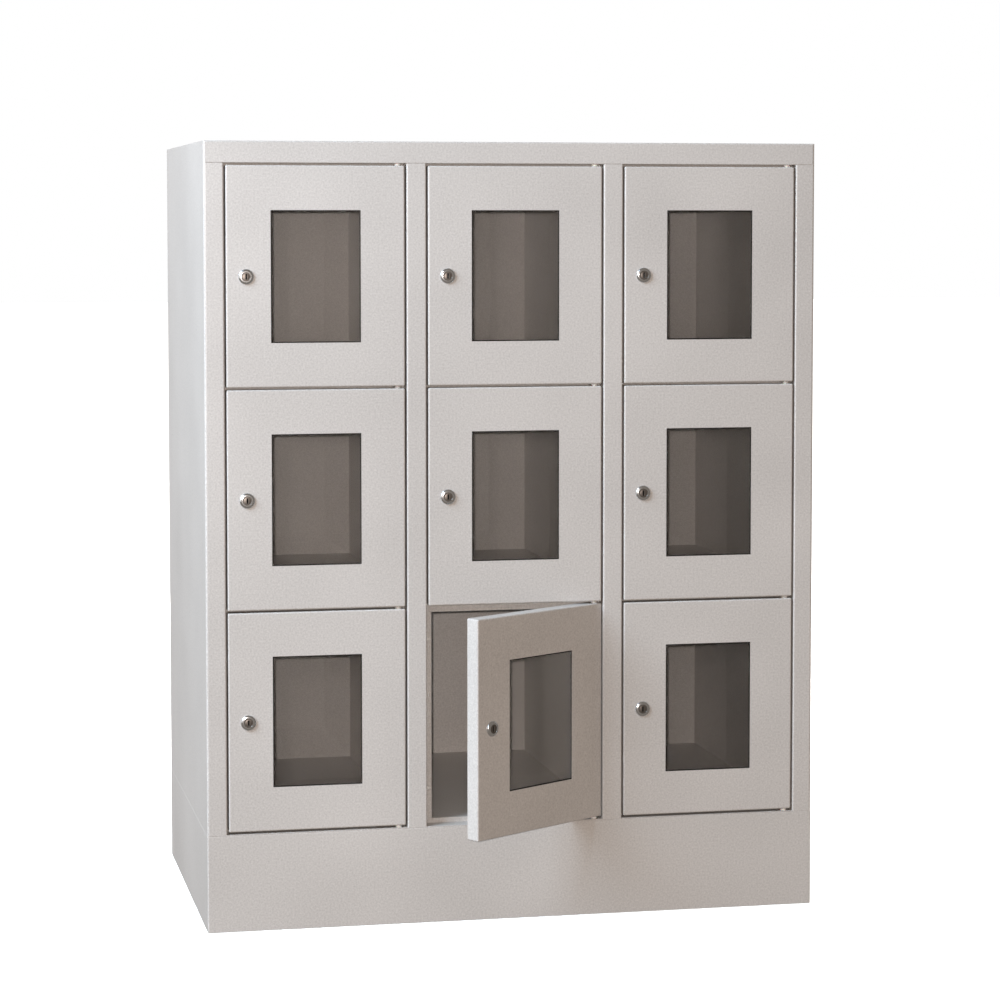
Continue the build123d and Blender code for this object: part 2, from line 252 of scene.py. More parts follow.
def put_piece(name, points, faces, material, body):
    """Makes a mesh object of the arrays, in metres where it stands, riding on a CAD body."""
    mesh = bpy.data.meshes.new(name)
    mesh.vertices.add(len(points))
    mesh.vertices.foreach_set("co", np.ascontiguousarray(points, np.float32).ravel())
    mesh.loops.add(3 * len(faces))
    mesh.loops.foreach_set("vertex_index", np.ascontiguousarray(faces, np.int32).ravel())
    mesh.polygons.add(len(faces))
    mesh.polygons.foreach_set("loop_start", np.arange(0, 3 * len(faces), 3, dtype=np.int32))
    mesh.update(calc_edges=True)
    mesh.validate()
    mesh.shade_smooth()
    mesh.set_sharp_from_angle(angle=math.radians(SHARP_DEGREES))
    mesh.materials.append(material)
    piece = bpy.data.objects.new(name, mesh)
    bpy.context.scene.collection.objects.link(piece)
    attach(piece, body)
    return piece


def door_axes(place):
    """A door's lower front corner on its lock side and its three axes, as it hangs at rest.

    The axes run from lock side to hinge side, from front to back, and up. They follow from
    the place and direction of its lock.
    """
    lock = JOINTS[f"lock_{place}_turn"]
    low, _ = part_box(f"door_{place}")
    into = np.array(lock["axis"], float)
    up = np.array([0.0, 0.0, 1.0])
    across = np.cross(into, up)
    corner = np.array(lock["pos_m"], float) - LOCK_INSET * MM * across
    corner[2] = low.z
    return corner, np.stack([across, into, up])


def door_height_mm(place):
    """A door's height in millimetres."""
    low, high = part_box(f"door_{place}")
    return (high.z - low.z) / MM


def on_door(points, place):
    """Points in millimetres on a door's own axes, as metres where the door hangs."""
    corner, axes = door_axes(place)
    return corner + (points * MM) @ axes


# Materials


def add_node(tree, kind, settings=None, links=None):
    """Adds a node, sets its inputs and options, and links its inputs to other outputs."""
    node = tree.nodes.new(kind)
    for name, value in (settings or {}).items():
        if isinstance(name, int) or name in node.inputs:
            node.inputs[name].default_value = value
        else:
            setattr(node, name, value)
    for name, (source, output) in (links or {}).items():
        tree.links.new(source.outputs[output], node.inputs[name])
    return node


def new_material(name, shader):
    """A material with only its shader, output and Object coordinates."""
    material = bpy.data.materials.new(name)
    material.use_nodes = True
    tree = material.node_tree
    tree.nodes.clear()
    surface = add_node(tree, "ShaderNodeBsdfPrincipled", shader)
    add_node(tree, "ShaderNodeOutputMaterial", links={"Surface": (surface, "BSDF")})
    place = add_node(tree, "ShaderNodeTexCoord")
    return material, tree, surface, place


def shades(colour, spread):
    """A colour made darker and lighter by a share of itself."""
    dark = (*(c * (1 - spread) for c in colour), 1.0)
    light = (*(min(1.0, c * (1 + spread)) for c in colour), 1.0)
    return dark, light


def powder_coated_steel(sheet):
    """Powder coat on folded sheet steel: a light warm grey skin cured in an oven.

    It gives the eye a satin surface that is slightly pebbled (orange peel), with fine grains
    of powder, and wide faint waves where the thin sheet isn't quite flat.
    """
    material, tree, surface, place = new_material("powder_coated_steel", {"IOR": 1.5})
    # The grains are under 0.2 mm across, and drawn 2.5 mm wide so that they show.
    grain = add_node(
        tree,
        "ShaderNodeTexNoise",
        {"Scale": 1 / (2.5 * MM), "Detail": 2.0, "Roughness": 0.7},
        {"Vector": (place, "Object")},
    )
    # The coat's thickness drifts over about 160 mm.
    drift = add_node(
        tree,
        "ShaderNodeTexNoise",
        {"Scale": 1 / (160 * MM), "Detail": 1.0},
        {"Vector": (place, "Object")},
    )
    tone = add_node(
        tree,
        "ShaderNodeMix",
        {"data_type": "FLOAT", 0: 0.25},
        {2: (grain, "Fac"), 3: (drift, "Fac")},
    )
    dark, light = shades(sheet.coat_colour, sheet.grain_contrast)
    colour = add_node(
        tree, "ShaderNodeMix", {"data_type": "RGBA", 6: dark, 7: light}, {0: (tone, 0)}
    )
    tree.links.new(colour.outputs[2], surface.inputs["Base Color"])
    satin = add_node(
        tree,
        "ShaderNodeMapRange",
        {"To Min": sheet.roughness - 0.05, "To Max": sheet.roughness + 0.05},
        {"Value": (grain, "Fac")},
    )
    tree.links.new(satin.outputs["Result"], surface.inputs["Roughness"])
    # Orange peel is about 1 mm from crest to crest, and drawn wider so that it shows.
    peel = add_node(
        tree,
        "ShaderNodeTexNoise",
        {"Scale": 1 / sheet.peel_width, "Detail": 1.0, "Roughness": 0.4},
        {"Vector": (place, "Object")},
    )
    wave = add_node(
        tree,
        "ShaderNodeTexNoise",
        {"Scale": 1 / sheet.wave_width, "Detail": 0.0},
        {"Vector": (place, "Object")},
    )
    flat = add_node(
        tree,
        "ShaderNodeBump",
        {"Strength": 1.0, "Distance": sheet.wave_height},
        {"Height": (wave, "Fac")},
    )
    pebbled = add_node(
        tree,
        "ShaderNodeBump",
        {"Strength": 1.0, "Distance": sheet.peel_height},
        {"Height": (peel, "Fac"), "Normal": (flat, "Normal")},
    )
    tree.links.new(pebbled.outputs["Normal"], surface.inputs["Normal"])
    return material


def clear_acrylic(glazing):
    """Cast acrylic sheet, 3 mm, cut and polished: clear, with a faint cool tint.

    It gives the eye a weak sharp reflection, dulled here and there by wiping marks.
    """
    material, tree, surface, place = new_material(
        "clear_acrylic",
        {"IOR": 1.49, "Transmission Weight": 1.0, "Alpha": glazing.pane_alpha},
    )
    # Marks left by a cloth are about 30 mm wide.
    smear = add_node(
        tree,
        "ShaderNodeTexNoise",
        {"Scale": 1 / (30 * MM), "Detail": 3.0, "Distortion": 1.5},
        {"Vector": (place, "Object")},
    )
    dull = add_node(
        tree, "ShaderNodeMapRange", {"To Min": 0.02, "To Max": 0.1}, {"Value": (smear, "Fac")}
    )
    tree.links.new(dull.outputs["Result"], surface.inputs["Roughness"])
    dark, light = shades(glazing.pane_tint, 0.01)
    tint = add_node(
        tree,
        "ShaderNodeMix",
        {"data_type": "RGBA", 6: dark, 7: light},
        {0: (smear, "Fac")},
    )
    tree.links.new(tint.outputs[2], surface.inputs["Base Color"])
    return material


def plated_lock_metal(name, colour, roughness):
    """Nickel and chrome plate on a turned zinc casting, as on a cam lock.

    It gives the eye a dark mirror with hard highlights, specked and faintly uneven.
    """
    material, tree, surface, place = new_material(name, {"Metallic": 1.0})
    # Specks in the plate are drawn 0.8 mm wide.
    speck = add_node(
        tree,
        "ShaderNodeTexNoise",
        {"Scale": 1 / (0.8 * MM), "Detail": 2.0},
        {"Vector": (place, "Object")},
    )
    dark, light = shades(colour, 0.15)
    plate = add_node(
        tree, "ShaderNodeMix", {"data_type": "RGBA", 6: dark, 7: light}, {0: (speck, "Fac")}
    )
    tree.links.new(plate.outputs[2], surface.inputs["Base Color"])
    polish = add_node(
        tree,
        "ShaderNodeMapRange",
        {"To Min": roughness, "To Max": roughness + 0.12},
        {"Value": (speck, "Fac")},
    )
    tree.links.new(polish.outputs["Result"], surface.inputs["Roughness"])
    # Marks of turning stay under 0.05 mm deep. They are drawn 0.6 mm apart.
    mark = add_node(
        tree,
        "ShaderNodeTexNoise",
        {"Scale": 1 / (0.6 * MM), "Detail": 0.0},
        {"Vector": (place, "Object")},
    )
    turned = add_node(
        tree,
        "ShaderNodeBump",
        {"Strength": 0.5, "Distance": 0.01 * MM},
        {"Height": (mark, "Fac")},
    )
    tree.links.new(turned.outputs["Normal"], surface.inputs["Normal"])
    return material


def zinc_plated_steel(fittings):
    """Bright zinc plate on small steel parts: pins, nuts, cams, rivets.

    It gives the eye a soft grey metal with a cloudy, faintly blue and yellow film.
    """
    material, tree, surface, place = new_material("zinc_plated_steel", {"Metallic": 1.0})
    # The film clouds over 4 mm.
    cloud = add_node(
        tree,
        "ShaderNodeTexNoise",
        {"Scale": 1 / (4 * MM), "Detail": 3.0, "Distortion": 0.6},
        {"Vector": (place, "Object")},
    )
    film = add_node(
        tree,
        "ShaderNodeMix",
        {
            "data_type": "RGBA",
            6: (*fittings.zinc_cool, 1.0),
            7: (*fittings.zinc_warm, 1.0),
        },
        {0: (cloud, "Fac")},
    )
    tree.links.new(film.outputs[2], surface.inputs["Base Color"])
    soft = add_node(
        tree, "ShaderNodeMapRange", {"To Min": 0.26, "To Max": 0.42}, {"Value": (cloud, "Fac")}
    )
    tree.links.new(soft.outputs["Result"], surface.inputs["Roughness"])
    # Rolled steel keeps fine scratches about 0.5 mm apart.
    scratch = add_node(
        tree,
        "ShaderNodeTexNoise",
        {"Scale": 1 / (0.5 * MM), "Detail": 1.0},
        {"Vector": (place, "Object")},
    )
    rolled = add_node(
        tree,
        "ShaderNodeBump",
        {"Strength": 0.4, "Distance": 0.01 * MM},
        {"Height": (scratch, "Fac")},
    )
    tree.links.new(rolled.outputs["Normal"], surface.inputs["Normal"])
    return material


def white_nylon(fittings):
    """Moulded white nylon (PA 6), self-coloured: slightly waxy, with soft highlights."""
    material, tree, surface, place = new_material(
        "white_nylon", {"IOR": 1.53, "Subsurface Weight": 0.15, "Subsurface Scale": 0.5 * MM}
    )
    # The moulded skin is mottled over 1.5 mm.
    mottle = add_node(
        tree,
        "ShaderNodeTexNoise",
        {"Scale": 1 / (1.5 * MM), "Detail": 1.0},
        {"Vector": (place, "Object")},
    )
    dark, light = shades(fittings.nylon_colour, 0.03)
    body = add_node(
        tree, "ShaderNodeMix", {"data_type": "RGBA", 6: dark, 7: light}, {0: (mottle, "Fac")}
    )
    tree.links.new(body.outputs[2], surface.inputs["Base Color"])
    waxy = add_node(
        tree, "ShaderNodeMapRange", {"To Min": 0.35, "To Max": 0.5}, {"Value": (mottle, "Fac")}
    )
    tree.links.new(waxy.outputs["Result"], surface.inputs["Roughness"])
    return material


def clear_silicone(fittings):
    """Cast silicone rubber dots: milky, soft and half clear, with a dull sheen."""
    material, tree, surface, place = new_material(
        "clear_silicone", {"IOR": 1.41, "Transmission Weight": 0.2, "Sheen Weight": 0.1}
    )
    # Dust clings to it in patches of about 1 mm.
    dust = add_node(
        tree,
        "ShaderNodeTexNoise",
        {"Scale": 1 / (1 * MM), "Detail": 2.0},
        {"Vector": (place, "Object")},
    )
    dark, light = shades(fittings.silicone_colour, 0.05)
    milk = add_node(
        tree, "ShaderNodeMix", {"data_type": "RGBA", 6: dark, 7: light}, {0: (dust, "Fac")}
    )
    tree.links.new(milk.outputs[2], surface.inputs["Base Color"])
    dull = add_node(
        tree, "ShaderNodeMapRange", {"To Min": 0.3, "To Max": 0.5}, {"Value": (dust, "Fac")}
    )
    tree.links.new(dull.outputs["Result"], surface.inputs["Roughness"])
    return material


def sealing_bead(glazing):
    """Bead of black silicone sealant, wiped smooth, that beds the pane behind the sheet. It is
    near-black and wide, so that it also paints the dark shadow line round the window's edge.
    """
    material, tree, surface, place = new_material("sealing_bead", {"IOR": 1.43})
    # Dust clings to it in patches of about 2 mm.
    dust = add_node(
        tree,
        "ShaderNodeTexNoise",
        {"Scale": 1 / (2 * MM), "Detail": 2.0},
        {"Vector": (place, "Object")},
    )
    dark, light = shades(glazing.seal_and_shadow_line_colour, 0.2)
    bead = add_node(
        tree, "ShaderNodeMix", {"data_type": "RGBA", 6: dark, 7: light}, {0: (dust, "Fac")}
    )
    tree.links.new(bead.outputs[2], surface.inputs["Base Color"])
    wiped = add_node(
        tree, "ShaderNodeMapRange", {"To Min": 0.35, "To Max": 0.55}, {"Value": (dust, "Fac")}
    )
    tree.links.new(wiped.outputs["Result"], surface.inputs["Roughness"])
    return material


def painted_floor(stage):
    """Matt white painted studio floor, with a roller's faint mottling."""
    material, tree, surface, place = new_material("painted_floor", {"Roughness": 0.9})
    # The roller leaves patches of about 60 mm.
    roller = add_node(
        tree,
        "ShaderNodeTexNoise",
        {"Scale": 1 / (60 * MM), "Detail": 2.0},
        {"Vector": (place, "Object")},
    )
    dark, light = shades(stage.floor_colour, 0.01)
    paint = add_node(
        tree, "ShaderNodeMix", {"data_type": "RGBA", 6: dark, 7: light}, {0: (roller, "Fac")}
    )
    tree.links.new(paint.outputs[2], surface.inputs["Base Color"])
    return material


# Values that a user would change


class StageSettings(PropertyGroup):
    """The camera, the lights and the floor."""

    camera_place: FloatVectorProperty(
        name="Camera place",
        description="Where the camera stands",
        default=(-0.8245, -4.0486, 0.9432),
        subtype="TRANSLATION",
        unit="LENGTH",
    )
    camera_forward: FloatVectorProperty(
        name="Camera forward",
        description="The direction the camera looks in",
        default=(0.20643, 0.97654, -0.06121),
        subtype="DIRECTION",
    )
    camera_up: FloatVectorProperty(
        name="Camera up",
        description="The direction of the picture's upper edge",
        default=(0.01287, 0.05985, 0.99812),
        subtype="DIRECTION",
    )
    lens: FloatProperty(
        name="Lens",
        description="Focal length on a 36 mm wide sensor",
        default=104.38,
        subtype="NONE",
        unit="CAMERA",
    )
    lens_rise: FloatProperty(
        name="Lens rise",
        description="How far the lens is moved up, as a share of the picture's width",
        default=0.1,
        subtype="FACTOR",
    )
    key_power: FloatProperty(
        name="Key light",
        description="The softbox high at the left",
        default=148.0,
        unit="POWER",
    )
    side_power: FloatProperty(
        name="Side light",
        description="The softbox low at the left",
        default=25.0,
        unit="POWER",
    )
    front_power: FloatProperty(
        name="Front light",
        description="The small lamp beside the lens, which lights the compartments",
        default=60.0,
        unit="POWER",
    )
    rear_left_power: FloatProperty(
        name="Rear left light",
        description="The softbox behind, at the left, which grazes the side",
        default=23.0,
        unit="POWER",
    )
    rear_power: FloatProperty(
        name="Rear light",
        description="The softbox behind, a little to the right, which lights the back",
        default=50.0,
        unit="POWER",
    )
    top_strength: FloatProperty(
        name="Top light",
        description="The wide light from straight above, for the floor",
        default=4.6,
        min=0.0,
    )
    room_strength: FloatProperty(
        name="Room light",
        description="How bright the room is all round",
        default=0.272,
        min=0.0,
    )
    sky_colour: FloatVectorProperty(
        name="Sky colour",
        description="Colour of the key light, as from a window",
        default=linear("#DCEEFF"),
        subtype="COLOR",
        min=0.0,
        max=1.0,
    )
    white_colour: FloatVectorProperty(
        name="White colour",
        description="Colour of the side and rear lights",
        default=linear("#FFF8F2"),
        subtype="COLOR",
        min=0.0,
        max=1.0,
    )
    warm_colour: FloatVectorProperty(
        name="Warm colour",
        description="Colour of the front and rear left lights",
        default=linear("#FFEFE6"),
        subtype="COLOR",
        min=0.0,
        max=1.0,
    )
    room_colour: FloatVectorProperty(
        name="Room colour",
        description="Colour of the light from all round",
        default=linear("#FFEDDD"),
        subtype="COLOR",
        min=0.0,
        max=1.0,
    )
    floor_colour: FloatVectorProperty(
        name="Floor colour",
        description="Colour of the floor's paint",
        default=linear("#F4F4F3"),
        subtype="COLOR",
        min=0.0,
        max=1.0,
    )
    floor_reach: FloatProperty(
        name="Floor reach",
        description="Half the width of the floor",
        default=30.0,
        subtype="DISTANCE",
        unit="LENGTH",
    )


class SheetSettings(PropertyGroup):
    """The coat on the folded sheet."""

    coat_colour: FloatVectorProperty(
        name="Coat colour",
        description="Colour of the powder coat",
        default=linear("#C4C2BF"),
        subtype="COLOR",
        min=0.0,
        max=1.0,
    )
    grain_contrast: FloatProperty(
        name="Grain contrast",
        description="How far the powder's grains differ from the coat's colour",
        default=0.42,
        min=0.0,
        max=0.6,
        subtype="FACTOR",
    )
    roughness: FloatProperty(
        name="Roughness",
        description="Roughness of the cured coat",
        default=0.3,
        min=0.05,
        max=1.0,
        subtype="FACTOR",
    )
    peel_width: FloatProperty(
        name="Orange peel width",
        description="From crest to crest of the coat's skin",
        default=3.5 * MM,
        precision=5,
        unit="LENGTH",
    )
    peel_height: FloatProperty(
        name="Orange peel height",
        description="Height of the coat's skin",
        default=0.05 * MM,
        precision=6,
        unit="LENGTH",
    )
    wave_width: FloatProperty(
        name="Sheet wave width",
        description="From crest to crest of the flat sheet's waves",
        default=140 * MM,
        precision=4,
        unit="LENGTH",
    )
    wave_height: FloatProperty(
        name="Sheet wave height",
        description="Height of the flat sheet's waves",
        default=0.5 * MM,
        precision=5,
        unit="LENGTH",
    )


class GlazingSettings(PropertyGroup):
    """The window panes and the frames that hold them."""

    pane_tint: FloatVectorProperty(
        name="Pane tint",
        description="Colour of the acrylic",
        default=linear("#F4F7F6"),
        subtype="COLOR",
        min=0.0,
        max=1.0,
    )
    pane_alpha: FloatProperty(
        name="Pane alpha",
        description="How much of the pane is seen",
        default=0.15,
        min=0.0,
        max=1.0,
        subtype="FACTOR",
    )
    # The seal's near-black colour and its width also paint the dark shadow line round each
    # window's edge.
    seal_and_shadow_line_colour: FloatVectorProperty(
        name="Seal colour",
        description="Colour of the seal between door and pane",
        default=linear("#0F0E0D"),
        subtype="COLOR",
        min=0.0,
        max=1.0,
    )
    seal_and_shadow_line_width: FloatProperty(
        name="Seal width",
        description="How much of the seal shows inside the window's edge",
        default=2.2 * MM,
        precision=5,
        unit="LENGTH",
    )
    frame_flange: FloatProperty(
        name="Frame flange",
        description="Width of the frame's flange on the door",
        default=7 * MM,
        precision=4,
        unit="LENGTH",
    )
    frame_cover: FloatProperty(
        name="Frame cover",
        description="How far the frame covers the pane's edge",
        default=6 * MM,
        precision=4,
        unit="LENGTH",
    )
    frame_sheet: FloatProperty(
        name="Frame sheet",
        description="Gauge of the frame",
        default=0.6 * MM,
        precision=5,
        unit="LENGTH",
    )
    rivet_radius: FloatProperty(
        name="Rivet radius",
        description="Radius of the frame's rivet heads",
        default=2.2 * MM,
        precision=5,
        unit="LENGTH",
    )


class LockSettings(PropertyGroup):
    """The cam locks."""

    collar_radius: FloatProperty(
        name="Collar radius",
        description="Radius of the lock's collar",
        default=10.25 * MM,
        precision=5,
        unit="LENGTH",
    )
    collar_height: FloatProperty(
        name="Collar height",
        description="How far the collar stands in front of the door",
        default=3 * MM,
        precision=5,
        unit="LENGTH",
    )
    barrel_radius: FloatProperty(
        name="Barrel radius",
        description="Outside radius of the thread",
        default=8 * MM,
        precision=5,
        unit="LENGTH",
    )
    thread_pitch: FloatProperty(
        name="Thread pitch",
        description="From crest to crest of the thread",
        default=1.5 * MM,
        precision=5,
        unit="LENGTH",
    )
    nut_flats: FloatProperty(
        name="Nut flats",
        description="Width of the nut across its flats",
        default=20 * MM,
        precision=5,
        unit="LENGTH",
    )
    plug_radius: FloatProperty(
        name="Plug radius",
        description="Radius of the key plug",
        default=5.75 * MM,
        precision=5,
        unit="LENGTH",
    )
    chrome_colour: FloatVectorProperty(
        name="Chrome colour",
        description="Colour of the plate on the collar",
        default=linear("#C7CBCE"),
        subtype="COLOR",
        min=0.0,
        max=1.0,
    )
    chrome_roughness: FloatProperty(
        name="Chrome roughness",
        description="Least roughness of the collar's plate",
        default=0.16,
        min=0.0,
        max=1.0,
        subtype="FACTOR",
    )
    # The plug's plate is a darker copy of the collar's. It paints the shade and the dark
    # reflection of its recessed face.
    plug_colour_with_painted_shade: FloatVectorProperty(
        name="Plug colour",
        description="Colour of the worn dark nickel on the key plug",
        default=linear("#77736F"),
        subtype="COLOR",
        min=0.0,
        max=1.0,
    )
    # The shutter's near-black colour paints the shade inside the key slot.
    shutter_colour_with_painted_shade: FloatVectorProperty(
        name="Shutter colour",
        description="Colour of the blackened dust shutter behind the key slot",
        default=linear("#1C1B1A"),
        subtype="COLOR",
        min=0.0,
        max=1.0,
    )
    plug_roughness: FloatProperty(
        name="Plug roughness",
        description="Least roughness of the plug's plate",
        default=0.34,
        min=0.0,
        max=1.0,
        subtype="FACTOR",
    )
    shutter_roughness: FloatProperty(
        name="Shutter roughness",
        description="Least roughness of the dust shutter",
        default=0.68,
        min=0.0,
        max=1.0,
        subtype="FACTOR",
    )


class FittingSettings(PropertyGroup):
    """Hinge washers, door buffers, pins and rivets."""

    washer_radius: FloatProperty(
        name="Washer radius",
        description="Outside radius of the hinge washers",
        default=4 * MM,
        precision=5,
        unit="LENGTH",
    )
    pin_radius: FloatProperty(
        name="Pin radius",
        description="Radius of the hinge pins",
        default=2.5 * MM,
        precision=5,
        unit="LENGTH",
    )
    buffer_radius: FloatProperty(
        name="Buffer radius",
        description="Radius of the door buffers",
        default=3 * MM,
        precision=5,
        unit="LENGTH",
    )
    back_rivet_radius: FloatProperty(
        name="Back rivet radius",
        description="Radius of the rivet heads on the back",
        default=3 * MM,
        precision=5,
        unit="LENGTH",
    )
    back_rivets_high: IntProperty(
        name="Back rivets in a row",
        description="How many rivets stand over each other along a wall",
        default=8,
        min=2,
    )
    zinc_cool: FloatVectorProperty(
        name="Zinc, cool",
        description="The bluer colour of the zinc",
        default=linear("#B4B9BE"),
        subtype="COLOR",
        min=0.0,
        max=1.0,
    )
    zinc_warm: FloatVectorProperty(
        name="Zinc, warm",
        description="The yellower colour of the zinc",
        default=linear("#C3C0B4"),
        subtype="COLOR",
        min=0.0,
        max=1.0,
    )
    nylon_colour: FloatVectorProperty(
        name="Nylon colour",
        description="Colour of the washers",
        default=linear("#F1F0EC"),
        subtype="COLOR",
        min=0.0,
        max=1.0,
    )
    silicone_colour: FloatVectorProperty(
        name="Silicone colour",
        description="Colour of the door buffers",
        default=linear("#F2F1ED"),
        subtype="COLOR",
        min=0.0,
        max=1.0,
    )


# The stage


def add_lamp(name, place, aim, size, power, colour):
    """A square area light at a place, turned to its aim."""
    lamp = bpy.data.lights.new(name, "AREA")
    lamp.shape = "SQUARE"
    lamp.size = size
    lamp.energy = power
    lamp.color = colour
    light = bpy.data.objects.new(name, lamp)
    light.location = place
    way = Vector(aim) - Vector(place)
    light.rotation_euler = way.to_track_quat("-Z", "Y").to_euler()
    light.visible_camera = False
    bpy.context.scene.collection.objects.link(light)


def build_room_light(stage):
    """The room: dim all round as a light, and plain white as a backdrop."""
    world = bpy.data.worlds.new("white_studio")
    bpy.context.scene.world = world
    world.use_nodes = True
    tree = world.node_tree
    tree.nodes.clear()
    dim = add_node(
        tree,
        "ShaderNodeBackground",
        {"Color": (*stage.room_colour, 1.0), "Strength": stage.room_strength},
    )
    backdrop = add_node(tree, "ShaderNodeBackground", {"Color": (1, 1, 1, 1), "Strength": 1.0})
    ray = add_node(tree, "ShaderNodeLightPath")
    both = add_node(
        tree,
        "ShaderNodeMixShader",
        links={0: (ray, "Is Camera Ray"), 1: (dim, 0), 2: (backdrop, 0)},
    )
    add_node(tree, "ShaderNodeOutputWorld", links={"Surface": (both, 0)})


class LOCKER_OT_stage(Operator):
    """Sets up the camera, the lights, the white room and the floor"""

    bl_idname = "locker.stage"
    bl_label = "Stage"

    sensor_width_mm = 36.0
    farthest_seen = 200.0
    front_lamp_from_lens = (-0.0235, 0.0036, 0.0238)
    top_light_degrees = 40.0

    def execute(self, context):
        scene = context.scene
        stage = scene.locker_stage
        scene.view_settings.view_transform = "Standard"
        self.add_camera(scene, stage)
        self.add_lamps(stage)
        top = self.add_top_light(scene, stage)
        build_room_light(stage)
        floor = self.add_floor(scene, stage)
        # The floor shows and takes shadows, but neither lights the locker nor shows in it,
        # and the top light is for the floor alone.
        floor.visible_diffuse = False
        floor.visible_glossy = False
        lit = bpy.data.collections.new("lit_from_the_top")
        lit.objects.link(floor)
        top.light_linking.receiver_collection = lit
        return {"FINISHED"}

    def add_camera(self, scene, stage):
        """The camera, turned so that its back, right and up axes follow from the settings."""
        view = bpy.data.cameras.new("photo_camera")
        view.sensor_width = self.sensor_width_mm
        view.lens = stage.lens
        view.shift_y = -stage.lens_rise
        view.clip_end = self.farthest_seen
        camera = bpy.data.objects.new("photo_camera", view)
        back = -Vector(stage.camera_forward).normalized()
        right = Vector(stage.camera_up).cross(back).normalized()
        turn = Matrix((right, back.cross(right), back)).transposed()
        camera.matrix_world = Matrix.Translation(stage.camera_place) @ turn.to_4x4()
        scene.collection.objects.link(camera)
        scene.camera = camera

    def add_lamps(self, stage):
        """The area lights, all aimed at the locker's middle."""
        low, high = cad_box
        beside_lens = Vector(stage.camera_place) + Vector(self.front_lamp_from_lens)
        # Each has its name, place, width, power and colour.
        lamps = [
            ("key_softbox", (-2.5, -1.3, 2.3), 1.6, stage.key_power, stage.sky_colour),
            ("side_softbox", (-3.2, -1.3, 1.2), 2.0, stage.side_power, stage.white_colour),
            ("front_lamp", beside_lens, 0.02, stage.front_power, stage.warm_colour),
            ("rear_left_softbox", (-2, 2, 1.8), 1.4, stage.rear_left_power, stage.warm_colour),
            ("rear_softbox", (0.5, 3.2, 0.6), 0.9, stage.rear_power, stage.white_colour),
        ]
        for name, place, size, power, colour in lamps:
            add_lamp(name, place, (low + high) / 2, size, power, colour)

    def add_top_light(self, scene, stage):
        """The wide light from straight above."""
        sun = bpy.data.lights.new("top_light", "SUN")
        sun.energy = stage.top_strength
        sun.angle = math.radians(self.top_light_degrees)
        top = bpy.data.objects.new("top_light", sun)
        scene.collection.objects.link(top)
        return top

    def add_floor(self, scene, stage):
        """The floor: one square at height 0."""
        mesh = bpy.data.meshes.new("floor")
        corners = [(*corner, 0.0) for corner in stage.floor_reach * SQUARE]
        mesh.from_pydata(corners, [], [(0, 1, 2, 3)])
        mesh.materials.append(painted_floor(stage))
        floor = bpy.data.objects.new("floor", mesh)
        scene.collection.objects.link(floor)
        return floor


# The finishes and the pieces


def finish(name):
    """One of the locker's materials, by name."""
    made = bpy.data.materials.get(name)
    if made is None:
        raise RuntimeError(f"material {name} isn't made yet: run the finishes first")
    return made


class LOCKER_OT_finishes(Operator):
    """Makes the materials and gives the CAD's pieces their finish"""

    bl_idname = "locker.finishes"
    bl_label = "Finishes"

    def execute(self, context):
        scene = context.scene
        lock = scene.locker_lock
        # The plug's darker plate paints the shade and dark reflection of its recessed face.
        plated_lock_metal("dark_nickel_plug", lock.plug_colour_with_painted_shade, lock.plug_roughness)
        # The shutter's near-black plate paints the shade inside the key slot.
        plated_lock_metal("blackened_shutter", lock.shutter_colour_with_painted_shade, lock.shutter_roughness)
        wanted = {name: node.data.materials[0].name for name, node in frame["nodes"].items()}
        for node in frame["nodes"].values():
            node.data.materials.clear()
        for name in set(wanted.values()):
            bpy.data.materials.remove(bpy.data.materials[name])
        made = {
            "powder_coated_steel": powder_coated_steel(scene.locker_sheet),
            "clear_acrylic": clear_acrylic(scene.locker_glazing),
            "chrome_plated_lock": plated_lock_metal(
                "chrome_plated_lock", lock.chrome_colour, lock.chrome_roughness
            ),
            "zinc_plated_steel": zinc_plated_steel(scene.locker_fittings),
            "white_nylon": white_nylon(scene.locker_fittings),
            "clear_silicone": clear_silicone(scene.locker_fittings),
        }
        for name, node in frame["nodes"].items():
            node.data.materials.append(made[wanted[name]])
        return {"FINISHED"}


def lock_middle(place):
    """Where a lock's axis meets the door's front face, in millimetres on the door's axes."""
    return np.array([LOCK_INSET, 0.0, door_height_mm(place) / 2])


